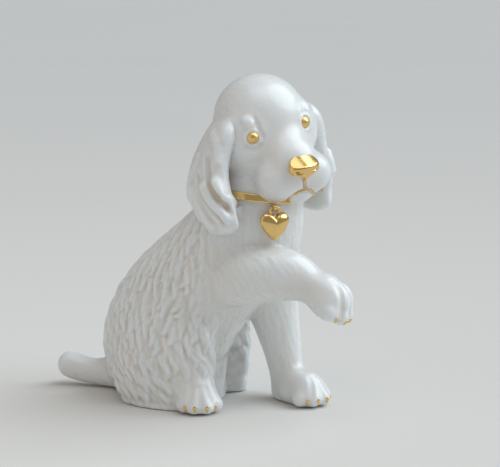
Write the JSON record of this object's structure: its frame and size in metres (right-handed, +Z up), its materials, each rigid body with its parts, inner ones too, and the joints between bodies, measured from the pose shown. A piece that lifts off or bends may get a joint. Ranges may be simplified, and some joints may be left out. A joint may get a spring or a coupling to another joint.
{
  "type": "sitting spaniel puppy figurine",
  "caption": "Glazed white porcelain spaniel puppy sitting with one forepaw raised, with gilded eyes, nose, claws and collar, and a heart pendant that swings.",
  "frame": {"origin": "on the flat seat that the figure rests on, under the middle of the body", "axes": "-Y is the way the body faces, +X the puppy's left, +Z up"},
  "size_m": [0.0472, 0.0948, 0.0929],
  "materials": {
    "porcelain": "glossy clear glaze",
    "slip": "fired slip, unglazed inside",
    "gilding": "burnished bright gold",
    "pendant_metal": "polished gold plate"
  },
  "bodies": {
    "figure": {"torso_shell": "porcelain", "head_shell": "porcelain", "right_ear": "porcelain", "left_ear": "porcelain", "left_fore_leg": "porcelain", "right_fore_leg": "porcelain", "right_hind_leg": "porcelain", "left_hind_leg": "porcelain", "tail": "porcelain", "luting_slip": "slip", "collar": "gilding", "collar_lug": "gilding", "right_eye": "gilding", "left_eye": "gilding", "nose_gilding": "gilding", "lip_line": "gilding", "left_fore_claws": "gilding", "right_fore_claws": "gilding", "right_hind_claws": "gilding", "left_hind_claws": "gilding"},
    "pendant": {"pendant_ring": "pendant_metal", "heart_pendant": "pendant_metal"}
  },
  "joints": [
    {"name": "pendant_swing", "type": "hinge", "parent": "figure", "child": "pendant", "pos_m": [-0.01062, -0.03231, 0.05747], "axis": [-0.7431, 0.6691, 0], "range_deg": [-4, 70]}
  ]
}
